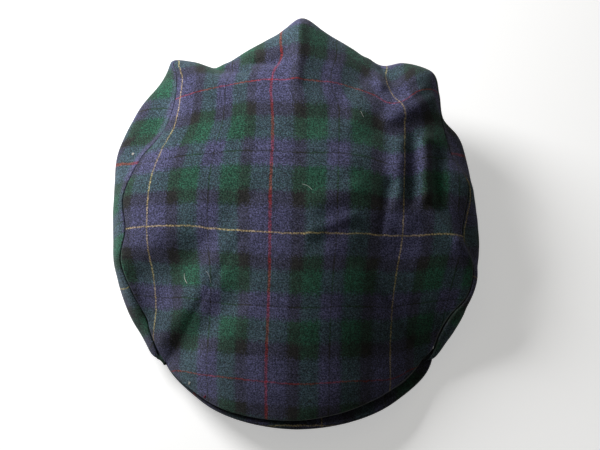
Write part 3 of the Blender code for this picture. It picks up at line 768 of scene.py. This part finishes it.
def turned_in(grid, cloth, first):
    """A side panel and its cloth places, with its edge at the centre back turned in to the seam."""
    columns = slice(None, 1) if first else slice(-1, None)
    edge, place = grid[columns], cloth[columns]
    across = (1 if first else -1) * BACK_SEAM_GAP * BACK_SEAM_SHUT / 2
    grids, cloths = [grid], [cloth]
    for share in (0.5, 1.0):
        grids.insert(0 if first else len(grids), edge + [across, -share * BACK_SEAM_DEPTH, 0])
        cloths.insert(0 if first else len(cloths), place)
    return np.concatenate(grids), np.concatenate(cloths)


def peak_surface(weft_half_sett):
    """The peak's surface, a column of points round its section at each bearing, and its cloth
    places."""
    radius = PEAK_THICKNESS / 2
    columns = []
    for bearing in np.linspace(-PEAK_TIP_BEARING, PEAK_TIP_BEARING, PEAK_COLUMNS + 1):
        outs = np.linspace(radius, peak_reach(bearing) - radius, PEAK_ROWS + 1)
        plan = [opening_point(bearing, out) for out in outs]
        columns.append([[x, y, peak_top(x, y)] for x, y in plan])
    upper = np.array(columns)
    outwards = np.gradient(upper, axis=1)
    normals = unit(np.cross(outwards, np.gradient(upper, axis=0)))
    outwards = unit(outwards)
    lower = upper - normals * PEAK_THICKNESS
    turns = np.linspace(0, math.pi, 2 * TURN_STEPS + 1)[1:-1, None, None]

    def half_round(row, way):
        """The edge at this row, rounded over from one face to the other."""
        normal, outward = normals[:, row], outwards[:, row]
        bend = normal * np.cos(turns) + outward * np.sin(turns)
        return (upper[:, row] - normal * radius + way * radius * bend).transpose(1, 0, 2)

    faces = [upper, half_round(-1, 1), lower[:, ::-1], half_round(0, -1), upper[:, :1]]
    loop = np.concatenate(faces, axis=1)
    half_setts = np.array([PEAK_SETT, weft_half_sett])
    lay = (upper[..., :2] - [PEAK_RED_X, PEAK_YELLOW_Y]) / half_setts + [0, 1]
    along = travelled(loop[:, PEAK_ROWS:], 1)[:, 1:]
    beyond = lay[:, -1:] + outwards[:, -1:, :2] / half_setts * along[..., None]
    return loop, np.concatenate([lay, beyond], axis=1)


def sheet_mesh(name, grid, cloth, nearness, closed, middle=None):
    """A mesh through columns of points, with the cloth's places as its UV map."""
    columns, rows = grid.shape[:2]
    shifted = (grid + CENTRE_SHIFT).reshape(-1, 3)
    shifted[:, 2] = np.maximum(shifted[:, 2], LOWEST_CLOTH)
    points = shifted.tolist()
    places = cloth.reshape(-1, 2).tolist()
    near = np.broadcast_to(nearness, (columns, rows)).reshape(-1).tolist()
    faces = []
    for i in range(columns if closed else columns - 1):
        k = (i + 1) % columns
        for j in range(rows - 1):
            faces.append([i * rows + j, i * rows + j + 1, k * rows + j + 1, k * rows + j])
    if middle is not None:
        points.append((middle[0] + CENTRE_SHIFT).tolist())
        places.append(middle[1].tolist())
        near.append(0.0)
        for i in range(columns):
            faces.append([len(points) - 1, i * rows, (i + 1) % columns * rows])
    mesh = bpy.data.meshes.new(name)
    mesh.from_pydata(points, [], faces)
    uv = mesh.uv_layers.new(name="cloth")
    for loop in mesh.loops:
        uv.data[loop.index].uv = places[loop.vertex_index]
    mesh.attributes.new("near_seam", "FLOAT", "POINT").data.foreach_set("value", near)
    mesh.shade_smooth()
    return mesh


def linked(name, data):
    """A new object in the scene."""
    made = bpy.data.objects.new(name, data)
    bpy.context.scene.collection.objects.link(made)
    return made


def aim(made, direction):
    """Turns a lamp or a camera to face this way."""
    made.rotation_euler = direction.to_track_quat("-Z", "Y").to_euler()


def cloth_piece(name, mesh, finish, thickness, node):
    """A piece in the scene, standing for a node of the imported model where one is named."""
    made = linked(name, mesh)
    mesh.materials.append(finish)
    if thickness:
        wall = made.modifiers.new("cloth thickness", "SOLIDIFY")
        wall.thickness = thickness
        wall.offset = -1
    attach(made, "root")
    if node:
        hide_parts(node)


def fibre_course(bit, chance):
    """Places in plan along one fibre of a bit, a little bent and strayed by chance."""
    start = np.array(placed(bit.from_across, bit.from_along, 0)[:2])
    end = np.array(placed(bit.to_across, bit.to_along, 0)[:2])
    run = end - start
    if not run.any():
        middle = start + chance.uniform(-TUFT_SPREAD, TUFT_SPREAD, 2) * TUFT_WIDTH
        turn = chance.uniform(0, 2 * math.pi)
        run = np.array([math.cos(turn), math.sin(turn)]) * TUFT_WIDTH
        run = run * chance.uniform(SHORTEST_FIBRE, LONGEST_FIBRE)
        start = middle - run / 2
    shares = np.linspace(0, 1, FIBRE_POINTS)[:, None]
    bow = chance.uniform(-FIBRE_BOW, FIBRE_BOW) * np.array([-run[1], run[0]])
    return start + run * shares + bow * np.sin(shares * math.pi)


def fibre_mesh(name, bits, cloth):
    """Thin round fibres that lie on the cloth below their places."""
    chance = np.random.RandomState(FIBRE_SEED)
    points, faces = [], []
    for bit in bits:
        for _ in range(bit.fibres):
            course = fibre_course(bit, chance)
            highest = FIBRE_LIFT + bit.fibres / FIBRES_A_LAYER
            lift = chance.uniform(FIBRE_LIFT, highest) * bit.thickness
            first = len(points)
            for x, y in course:
                hit = cloth.ray_cast(Vector((x, y, 2 * CROWN_HEIGHT)), Vector((0, 0, -1)))[0]
                if hit is None:
                    raise ValueError(f"{bit.place} lies partly off the cloth")
                for side in range(FIBRE_SIDES):
                    turn = 2 * math.pi * side / FIBRE_SIDES
                    round_it = Vector((math.cos(turn), math.cos(turn), math.sin(turn)))
                    points.append(hit + Vector((0, 0, lift)) + round_it * bit.thickness / 2)
            for i in range(FIBRE_POINTS - 1):
                for side in range(FIBRE_SIDES):
                    a = first + i * FIBRE_SIDES + side
                    b = first + i * FIBRE_SIDES + (side + 1) % FIBRE_SIDES
                    faces.append([a, b, b + FIBRE_SIDES, a + FIBRE_SIDES])
            for end in (first, len(points) - FIBRE_SIDES):
                faces.append([end + side for side in range(FIBRE_SIDES)])
    mesh = bpy.data.meshes.new(name)
    mesh.from_pydata(points, [], faces)
    mesh.shade_smooth()
    return mesh


class NodeDrawer:
    """Adds shader nodes to a tree and links them, by plain calls."""

    def __init__(self, tree):
        self.tree = tree

    def feed(self, socket, value):
        """Gives a socket a value, or links another socket to it."""
        if isinstance(value, bpy.types.NodeSocket):
            self.tree.links.new(value, socket)
        else:
            socket.default_value = value

    def add(self, kind, inputs=(), **settings):
        """A node with these settings, its inputs given by name or number as values or sockets."""
        node = self.tree.nodes.new(kind)
        for key, value in settings.items():
            setattr(node, key, value)
        for key, value in dict(inputs).items():
            self.feed(node.inputs[key], value)
        return node

    def group(self, name, inputs):
        """The outputs of a shared node group, which is built where it isn't there yet."""
        tree = bpy.data.node_groups.get(name) or NODE_GROUPS[name](name)
        return self.add("ShaderNodeGroup", inputs, node_tree=tree).outputs

    def math(self, operation, first, second=0.0, third=0.0, clamp=False):
        """The result of one sum."""
        inputs = {0: first, 1: second, 2: third}
        return self.add("ShaderNodeMath", inputs, operation=operation, use_clamp=clamp).outputs[0]

    def vector(self, operation, first, second):
        """The result of one sum of vectors."""
        inputs = {0: first, 1: second}
        return self.add("ShaderNodeVectorMath", inputs, operation=operation).outputs[0]

    def mix(self, factor, first, second, blend="MIX"):
        """One colour laid over another."""
        inputs = {0: factor, 6: first, 7: second}
        return self.add("ShaderNodeMix", inputs, data_type="RGBA", blend_type=blend).outputs[2]

    def noise(self, place, kind, output="Fac"):
        """A cloudy value from 0 to 1, or a cloudy colour, with a scale and a detail."""
        inputs = {"Vector": place, "Scale": kind[0], "Detail": kind[1]}
        return self.add("ShaderNodeTexNoise", inputs).outputs[output]


def new_group(name, inputs, outputs):
    """What draws in a new node group with these named sockets, and its two ends."""
    tree = bpy.data.node_groups.new(name, "ShaderNodeTree")
    for direction, sockets in (("INPUT", inputs), ("OUTPUT", outputs)):
        for socket, kind in sockets.items():
            tree.interface.new_socket(socket, in_out=direction, socket_type="NodeSocket" + kind)
    draw = NodeDrawer(tree)
    return draw, draw.add("NodeGroupInput").outputs, draw.add("NodeGroupOutput").inputs


def sett_group(name):
    """The colour of one thread of the sett, by its place between a red line and a yellow one.
    Line Place is where the thread is for the bright lines, whose half widths follow it."""
    floats = dict.fromkeys(("Place", "Line Place", "Red Line", "Yellow Line"), "Float")
    draw, given, result = new_group(name, {**floats, **YARN_SOCKETS}, {"Colour": "Color"})
    place = draw.math("PINGPONG", given["Place"], 1.0)
    ramp = draw.add("ShaderNodeValToRGB", {"Fac": place})
    ramp.color_ramp.interpolation = "CONSTANT"
    stops = ramp.color_ramp.elements
    stops.remove(stops[1])
    for i, stripe in enumerate(SETT):
        stop = stops[0] if i == 0 else stops.new(stripe.start)
        stop.color = (stripe.black, stripe.green, 0, 1)
    masks = draw.add("ShaderNodeSeparateColor", {0: ramp.outputs["Color"]}).outputs
    line_place = draw.math("PINGPONG", given["Line Place"], 1.0)
    from_black = draw.math("ABSOLUTE", draw.math("SUBTRACT", line_place, BLACK_LINE))
    from_yellow = draw.math("SUBTRACT", 1.0, line_place)
    colour = given["Blue"]
    for mask, yarn in (
        (masks[0], "Black"),
        (masks[1], "Green"),
        (draw.math("LESS_THAN", from_black, given["Yellow Line"]), "Black"),
        (draw.math("LESS_THAN", line_place, given["Red Line"]), "Red"),
        (draw.math("LESS_THAN", from_yellow, given["Yellow Line"]), "Yellow"),
    ):
        colour = draw.mix(mask, colour, given[yarn])
    draw.feed(result["Colour"], colour)
    return draw.tree


def twill_group(name):
    """Tartan woven in an even twill: the colour and the height of its threads. Wander moves all
    threads slowly to and fro, and Feather blurs the edges of the broad stripes."""
    floats = ("Warp Threads", "Weft Threads", "Wander", "Feather", "Contrast")
    inputs = {"Cloth": "Vector", **dict.fromkeys(floats, "Float"), **YARN_SOCKETS}
    draw, given, result = new_group(name, inputs, {"Colour": "Color", "Height": "Float"})

    def strayed(place, kind, amount):
        """The place moved to and fro by this much noise."""
        centred = draw.vector("SUBTRACT", draw.noise(given["Cloth"], kind, "Color"), (0.5,) * 3)
        moved = draw.add("ShaderNodeVectorMath", {0: centred, "Scale": amount}, operation="SCALE")
        return draw.vector("ADD", place, moved.outputs[0])

    lines = strayed(given["Cloth"], WANDER_NOISE, given["Wander"])
    bands = strayed(lines, FEATHER_NOISE, given["Feather"])
    line_axes = draw.add("ShaderNodeSeparateXYZ", {0: lines}).outputs
    band_axes = draw.add("ShaderNodeSeparateXYZ", {0: bands}).outputs
    yarns = {yarn: given[yarn] for yarn in YARNS}
    colours, counts, humps = [], [], []
    for axis, threads in enumerate((given["Warp Threads"], given["Weft Threads"])):
        place = draw.math("MULTIPLY", line_axes[axis], threads)
        count = draw.math("FLOOR", place)
        values = {
            "Place": band_axes[axis],
            "Line Place": draw.math("DIVIDE", draw.math("ADD", count, 0.5), threads),
            "Red Line": draw.math("DIVIDE", RED_LINE_THREADS[axis], threads),
            "Yellow Line": draw.math("DIVIDE", YELLOW_LINE_THREADS, threads),
        }
        thread_colour = draw.group("Sett", {**values, **yarns})["Colour"]
        tone = draw.add("ShaderNodeTexWhiteNoise", {"W": count}, noise_dimensions="1D")
        shade = draw.math("MULTIPLY_ADD", tone.outputs["Value"], *THREAD_TONE)
        colours.append(draw.mix(1.0, thread_colour, shade, "MULTIPLY"))
        counts.append(count)
        humps.append(draw.math("SINE", draw.math("MULTIPLY", draw.math("FRACT", place), math.pi)))
    diagonal = draw.math("FLOORED_MODULO", draw.math("ADD", *counts), TWILL_THREADS)
    warp_up = draw.math("LESS_THAN", diagonal, TWILL_THREADS / 2 - 0.5)
    shown = draw.math("MULTIPLY_ADD", warp_up, given["Contrast"], 0.5)
    shown = draw.math("MULTIPLY_ADD", given["Contrast"], -0.5, shown)
    height = draw.add("ShaderNodeMix", {0: warp_up, 2: humps[1], 3: humps[0]}, data_type="FLOAT")
    draw.feed(result["Colour"], draw.mix(shown, colours[1], colours[0]))
    draw.feed(result["Height"], height.outputs[0])
    return draw.tree


def nap_group(name):
    """The fuzz of brushed wool: a speckled tone, pale fibre ends and a soft fine height."""
    inputs = {"Colour": "Color", "Place": "Vector", "Fuzz": "Color"}
    inputs.update(Amount="Float", Speckle="Float")
    draw, given, result = new_group(name, inputs, {"Colour": "Color", "Height": "Float"})
    fine = draw.noise(given["Place"], FIBRE_NOISE)
    clump = draw.noise(given["Place"], CLUMP_NOISE)
    cloud = draw.noise(given["Place"], CLOUD_NOISE)
    speckle = draw.math("MULTIPLY", draw.math("SUBTRACT", fine, 0.5), given["Speckle"])
    tone = draw.math("MAXIMUM", draw.math("ADD", speckle, 1.0), LEAST_SPECKLE)
    for value, range_and_least in ((clump, CLUMP_TONE), (cloud, CLOUD_TONE)):
        tone = draw.math("MULTIPLY", tone, draw.math("MULTIPLY_ADD", value, *range_and_least))
    colour = draw.mix(1.0, given["Colour"], tone, "MULTIPLY")
    ends = {"Value": draw.noise(given["Place"], ENDS_NOISE), **FIBRE_ENDS}
    ends = draw.add("ShaderNodeMapRange", ends).outputs[0]
    colour = draw.mix(draw.math("MULTIPLY", ends, given["Amount"]), colour, given["Fuzz"])
    height = draw.math("ADD", draw.math("MULTIPLY", fine, 0.5), draw.math("MULTIPLY", clump, 0.5))
    draw.feed(result["Colour"], colour)
    draw.feed(result["Height"], height)
    return draw.tree


def wear_and_painted_shade_group(name):
    """Rubbed, paler cloth along the sewn edges, where Edge is over 0, and painted shade inside
    their seams, where it is under 0: the colour is darkened there as if no light got in."""
    inputs = {"Colour": "Color", "Pale": "Color", "Place": "Vector"}
    inputs.update(Edge="Float", Amount="Float")
    draw, given, result = new_group(name, inputs, {"Colour": "Color"})
    patchy = draw.noise(given["Place"], RUBBED_NOISE)
    rubbed = draw.math("MULTIPLY", draw.math("MULTIPLY", patchy, given["Edge"]), given["Amount"])
    rubbed = draw.math("MINIMUM", rubbed, MOST_RUBBED, clamp=True)
    # Painted shade inside the seams, where Edge is under 0: the colour is darkened as if no light
    # got in
    inside = draw.math("MULTIPLY", given["Edge"], -1.0, clamp=True)
    colour = draw.mix(rubbed, given["Colour"], given["Pale"])
    painted_seam_shade = draw.mix(1.0, given["Colour"], SEAM_PAINTED_SHADE, "MULTIPLY")
    draw.feed(result["Colour"], draw.mix(inside, colour, painted_seam_shade))
    return draw.tree


NODE_GROUPS = {
    "Sett": sett_group,
    "Tartan twill": twill_group,
    "Wool nap": nap_group,
    "Edge wear": wear_and_painted_shade_group,
}


def new_material(name):
    """A material, and the inputs of its shader."""
    made = bpy.data.materials.new(name)
    made.use_nodes = True
    return made, made.node_tree.nodes["Principled BSDF"].inputs


def plain_material(name, colour, roughness):
    """A material of one colour, and the inputs of its shader."""
    made, shader = new_material(name)
    shader["Base Color"].default_value = (*colour, 1)
    shader["Roughness"].default_value = roughness
    return made, shader


def tartan_material(slot, scene):
    """Brushed tartan wool for the pieces in this slot."""
    sizes, colours, finish = scene.flat_cap_sizes, scene.flat_cap_colours, WEAR_AND_SHADE[slot]
    made, shader = new_material(f"tartan wool, {slot}")
    draw = NodeDrawer(made.node_tree)
    place = draw.add("ShaderNodeTexCoord").outputs["Object"]
    values = {
        "Cloth": draw.add("ShaderNodeUVMap", uv_map="cloth").outputs[0],
        "Warp Threads": round(sizes.warp_half_sett / sizes.thread_pitch),
        "Weft Threads": round(sizes.weft_half_sett / sizes.thread_pitch),
        "Wander": sizes.wander / sizes.weft_half_sett,
        "Feather": sizes.feather / sizes.weft_half_sett,
        "Contrast": THREAD_CONTRAST,
    }
    # The yarns' colours times depth: on the peak this darkening is painted shade
    for yarn in YARNS:
        values[yarn] = (*[part * finish.depth for part in getattr(colours, yarn.lower())], 1)
    twill = draw.group("Tartan twill", values)
    values = {"Fuzz": (*colours.fuzz, 1), "Amount": FUZZ_AMOUNT, "Speckle": SPECKLE}
    nap = draw.group("Wool nap", {"Colour": twill["Colour"], "Place": place, **values})
    values = {
        "Edge": draw.add("ShaderNodeAttribute", attribute_name="near_seam").outputs["Fac"],
        "Pale": (*colours.worn, 1),
        "Amount": finish.worn,
    }
    worn = draw.group("Edge wear", {"Colour": nap["Colour"], "Place": place, **values})
    height = draw.math("MULTIPLY_ADD", twill["Height"], THREAD_HEIGHT, nap["Height"])
    bump = draw.add("ShaderNodeBump", {"Height": height, **NAP_BUMP})
    draw.feed(shader["Base Color"], worn["Colour"])
    draw.feed(shader["Roughness"], draw.math("MULTIPLY_ADD", nap["Height"], *ROUGHNESS))
    draw.feed(shader["Normal"], bump.outputs[0])
    for key, value in WOOL.items():
        shader[key].default_value = value
    return made


def a_length(name, description, default):
    """A length that a user can change."""
    return bpy.props.FloatProperty(
        name=name, description=description, default=default, unit="LENGTH"
    )


def a_colour(name, description, *default):
    """A colour that a user can change."""
    return bpy.props.FloatVectorProperty(
        name=name, description=description, default=default, subtype="COLOR"
    )


class FlatCapSizes(bpy.types.PropertyGroup):
    """Sizes of the cloth and of the way it is sewn."""

    thickness: a_length("Thickness", "Thickness of the wool", 0.0015)
    seam_turn: a_length("Seam turn", "How roundly the panels turn into their seams", 0.0009)
    seam_depth: a_length("Seam depth", "How far the turned edges go down into the seams", 0.0016)
    wrinkle_height: a_length("Wrinkle height", "Height of the small waves", 0.0006)
    wrinkle_pitch: a_length("Wrinkle pitch", "Length of the small waves", 0.021)
    warp_half_sett: a_length("Warp half sett", "Red line to yellow line, across the cloth", 0.085)
    weft_half_sett: a_length("Weft half sett", "Red line to yellow line, along the cloth", 0.096)
    thread_pitch: a_length("Thread pitch", "From thread to thread", 0.0005)
    wander: a_length("Wander", "How far a thread strays to each side", 0.0016)
    feather: a_length("Feather", "How far the broad stripes run into each other", 0.014)


class FlatCapColours(bpy.types.PropertyGroup):
    """Colours of the yarns, the lint and the floor."""

    blue: a_colour("Blue", "Blue yarn", 0.078, 0.078, 0.168)
    black: a_colour("Black", "Black yarn", 0.019, 0.018, 0.016)
    green: a_colour("Green", "Green yarn", 0.020, 0.098, 0.058)
    red: a_colour("Red", "Red yarn", 0.36, 0.022, 0.036)
    yellow: a_colour("Yellow", "Yellow yarn", 0.62, 0.47, 0.22)
    fuzz: a_colour("Fuzz", "Fibre ends of the brushed wool", 0.13, 0.135, 0.12)
    worn: a_colour("Worn", "The rubbed edges", 0.24, 0.26, 0.26)
    lint: a_colour("Lint", "Bits of pale lint", 0.80, 0.78, 0.74)
    floor: a_colour("Floor", "The pale floor", 0.86, 0.86, 0.86)


class FlatCapView(bpy.types.PropertyGroup):
    """The camera and the light."""

    elevation: bpy.props.FloatProperty(
        name="Elevation",
        description="Angle of the camera above the floor",
        default=math.radians(68),
        subtype="ANGLE",
    )
    distance: a_length("Distance", "From the camera to the cap", 0.8)
    lens: bpy.props.FloatProperty(
        name="Lens", description="Focal length in millimetres", default=72
    )
    key_power: bpy.props.FloatProperty(
        name="Key light", description="Power of the main light", default=11, unit="POWER"
    )
    fill_power: bpy.props.FloatProperty(
        name="Fill light", description="Power of the overhead light", default=1.6, unit="POWER"
    )


class FLATCAP_OT_top_panel(bpy.types.Operator):
    """Makes the long top panel of the crown"""

    bl_idname = "flatcap.top_panel"
    bl_label = "Top panel"

    def execute(self, context):
        sizes = context.scene.flat_cap_sizes
        top, _, _ = crown_surfaces()
        cloth = top_cloth(top)
        summit = summit_point()
        summit[2] += float(fold_height(summit[0], summit[1], CREASES))
        middle = (summit, lay_of(summit[0], summit[1]))
        top = wrinkled(top, sizes.wrinkle_height, sizes.wrinkle_pitch, TOP_WAVES_AT)
        top, cloth = turned_under(top, cloth, sizes.seam_turn, sizes.seam_depth, True)
        nearness = seam_wear_and_painted_shade(top, top.shape[1] - TURN_STEPS, 1)
        mesh = sheet_mesh("top_cloth", top, cloth, nearness, True, middle)
        finish = tartan_material("top", context.scene)
        cloth_piece("top_cloth", mesh, finish, sizes.thickness, "top_panel")
        return {"FINISHED"}


class FLATCAP_OT_side_panels(bpy.types.Operator):
    """Makes the two side panels of the crown"""

    bl_idname = "flatcap.side_panels"
    bl_label = "Side panels"

    def execute(self, context):
        sizes = context.scene.flat_cap_sizes
        _, right, left = crown_surfaces()
        finish = tartan_material("side", context.scene)
        for lay, grid in zip(WALL_LAYS, (right, left)):
            name = f"side_cloth_{lay.side}"
            is_left = lay.side == "left"
            grid = tapered(grid, is_left, lay.tip_width)
            cloth = wall_cloth(grid, lay, sizes)
            grid = wrinkled(grid, sizes.wrinkle_height, sizes.wrinkle_pitch, SIDE_WAVES_AT)
            # turned_under turns the last edge, and the seam is the first
            grid, cloth = grid[::-1, ::-1], cloth[::-1, ::-1]
            grid, cloth = turned_under(grid, cloth, sizes.seam_turn, sizes.seam_depth, False)
            grid, cloth = grid[::-1, ::-1], cloth[::-1, ::-1]
            grid, cloth = turned_in(grid, cloth, is_left)
            nearness = seam_wear_and_painted_shade(grid, TURN_STEPS - 1, -1)
            mesh = sheet_mesh(name, grid, cloth, nearness, False)
            cloth_piece(name, mesh, finish, sizes.thickness, f"side_panel_{lay.side}")
        return {"FINISHED"}


class FLATCAP_OT_peak(bpy.types.Operator):
    """Makes the peak, a bent board covered in cloth"""

    bl_idname = "flatcap.peak"
    bl_label = "Peak"

    def execute(self, context):
        loop, cloth = peak_surface(context.scene.flat_cap_sizes.weft_half_sett)
        mesh = sheet_mesh("peak_cover", loop[::-1], cloth[::-1], np.zeros(loop.shape[1]), False)
        finish = tartan_material("peak", context.scene)
        cloth_piece("peak_cover", mesh, finish, 0, "peak")
        return {"FINISHED"}


class FLATCAP_OT_lint(bpy.types.Operator):
    """Lays a few bits of lint and hair on the cloth"""

    bl_idname = "flatcap.lint"
    bl_label = "Lint"

    def execute(self, context):
        points, faces = [], []
        for name in ("top_cloth", "side_cloth_left", "peak_cover"):
            mesh = bpy.data.objects[name].data
            faces += [[len(points) + i for i in face.vertices] for face in mesh.polygons]
            points += [point.co.copy() for point in mesh.vertices]
        cloth = BVHTree.FromPolygons(points, faces)
        for kind in ("lint", "red"):
            colour = getattr(context.scene.flat_cap_colours, kind)
            finish, _ = plain_material(f"{kind} fibres", colour, FIBRE_ROUGHNESS)
            mesh = fibre_mesh(f"fibres_{kind}", [bit for bit in BITS if bit.colour == kind], cloth)
            cloth_piece(f"fibres_{kind}", mesh, finish, 0, None)
        return {"FINISHED"}


class FLATCAP_OT_stage(bpy.types.Operator):
    """Makes the floor, the lights and the camera"""

    bl_idname = "flatcap.stage"
    bl_label = "Stage"

    def execute(self, context):
        scene = context.scene
        view = scene.flat_cap_view
        mesh = bpy.data.meshes.new("floor")
        far = FLOOR_REACH
        mesh.from_pydata(
            [(-far, -far, 0), (far, -far, 0), (far, far, 0), (-far, far, 0)], [], [(0, 1, 2, 3)]
        )
        floor = linked("floor", mesh)
        colour = scene.flat_cap_colours.floor
        finish, shader = plain_material("pale floor", colour, FLOOR_ROUGHNESS)
        draw = NodeDrawer(finish.node_tree)
        seen_directly = draw.add("ShaderNodeLightPath").outputs["Is Camera Ray"]
        shader["Emission Color"].default_value = (1, 1, 1, 1)
        draw.feed(shader["Emission Strength"], draw.math("MULTIPLY", seen_directly, FLOOR_GLOW))
        mesh.materials.append(finish)
        for name, place, size, power, tint in LIGHTS:
            light = bpy.data.lights.new(name, "AREA")
            light.size = size
            light.energy = getattr(view, power)
            light.color = tint
            lamp = linked(name, light)
            lamp.location = place
            aim(lamp, VIEW_TARGET - Vector(place))
        scene.world = bpy.data.worlds.new("studio")
        scene.world.use_nodes = True
        background = scene.world.node_tree.nodes["Background"].inputs
        background["Color"].default_value = STUDIO_COLOUR
        background["Strength"].default_value = STUDIO_STRENGTH
        lens = bpy.data.cameras.new("camera")
        lens.lens = view.lens
        scene.camera = linked("camera", lens)
        back = Vector((0, -math.cos(view.elevation), math.sin(view.elevation)))
        scene.camera.location = VIEW_TARGET + back * view.distance
        aim(scene.camera, -back)
        scene.view_settings.view_transform = "Standard"
        return {"FINISHED"}


class FLATCAP_PT_panel(bpy.types.Panel):
    """The cap's sizes, colours and pieces"""

    bl_idname = "FLATCAP_PT_panel"
    bl_label = "Flat cap"
    bl_space_type = "VIEW_3D"
    bl_region_type = "UI"
    bl_category = "Flat cap"

    def draw(self, context):
        for group, _ in GROUPS:
            values = getattr(context.scene, group)
            box = self.layout.box()
            for name in type(values).__annotations__:
                box.prop(values, name)
        for operator in OPERATORS:
            self.layout.operator(operator.bl_idname)


OPERATORS = (
    FLATCAP_OT_top_panel,
    FLATCAP_OT_side_panels,
    FLATCAP_OT_peak,
    FLATCAP_OT_lint,
    FLATCAP_OT_stage,
)
GROUPS = (
    ("flat_cap_sizes", FlatCapSizes),
    ("flat_cap_colours", FlatCapColours),
    ("flat_cap_view", FlatCapView),
)


def register():
    """Adds the operators, the panel and the scene's settings."""
    for name, group in GROUPS:
        bpy.utils.register_class(group)
        setattr(bpy.types.Scene, name, bpy.props.PointerProperty(type=group))
    for made in (*OPERATORS, FLATCAP_PT_panel):
        bpy.utils.register_class(made)


def unregister():
    """Takes them away again."""
    for made in (FLATCAP_PT_panel, *reversed(OPERATORS)):
        bpy.utils.unregister_class(made)
    for name, group in GROUPS:
        delattr(bpy.types.Scene, name)
        bpy.utils.unregister_class(group)


def main():
    """Makes every piece and the stage."""
    register()
    bpy.ops.flatcap.top_panel()
    bpy.ops.flatcap.side_panels()
    bpy.ops.flatcap.peak()
    bpy.ops.flatcap.lint()
    bpy.ops.flatcap.stage()


if __name__ == "__main__":
    main()
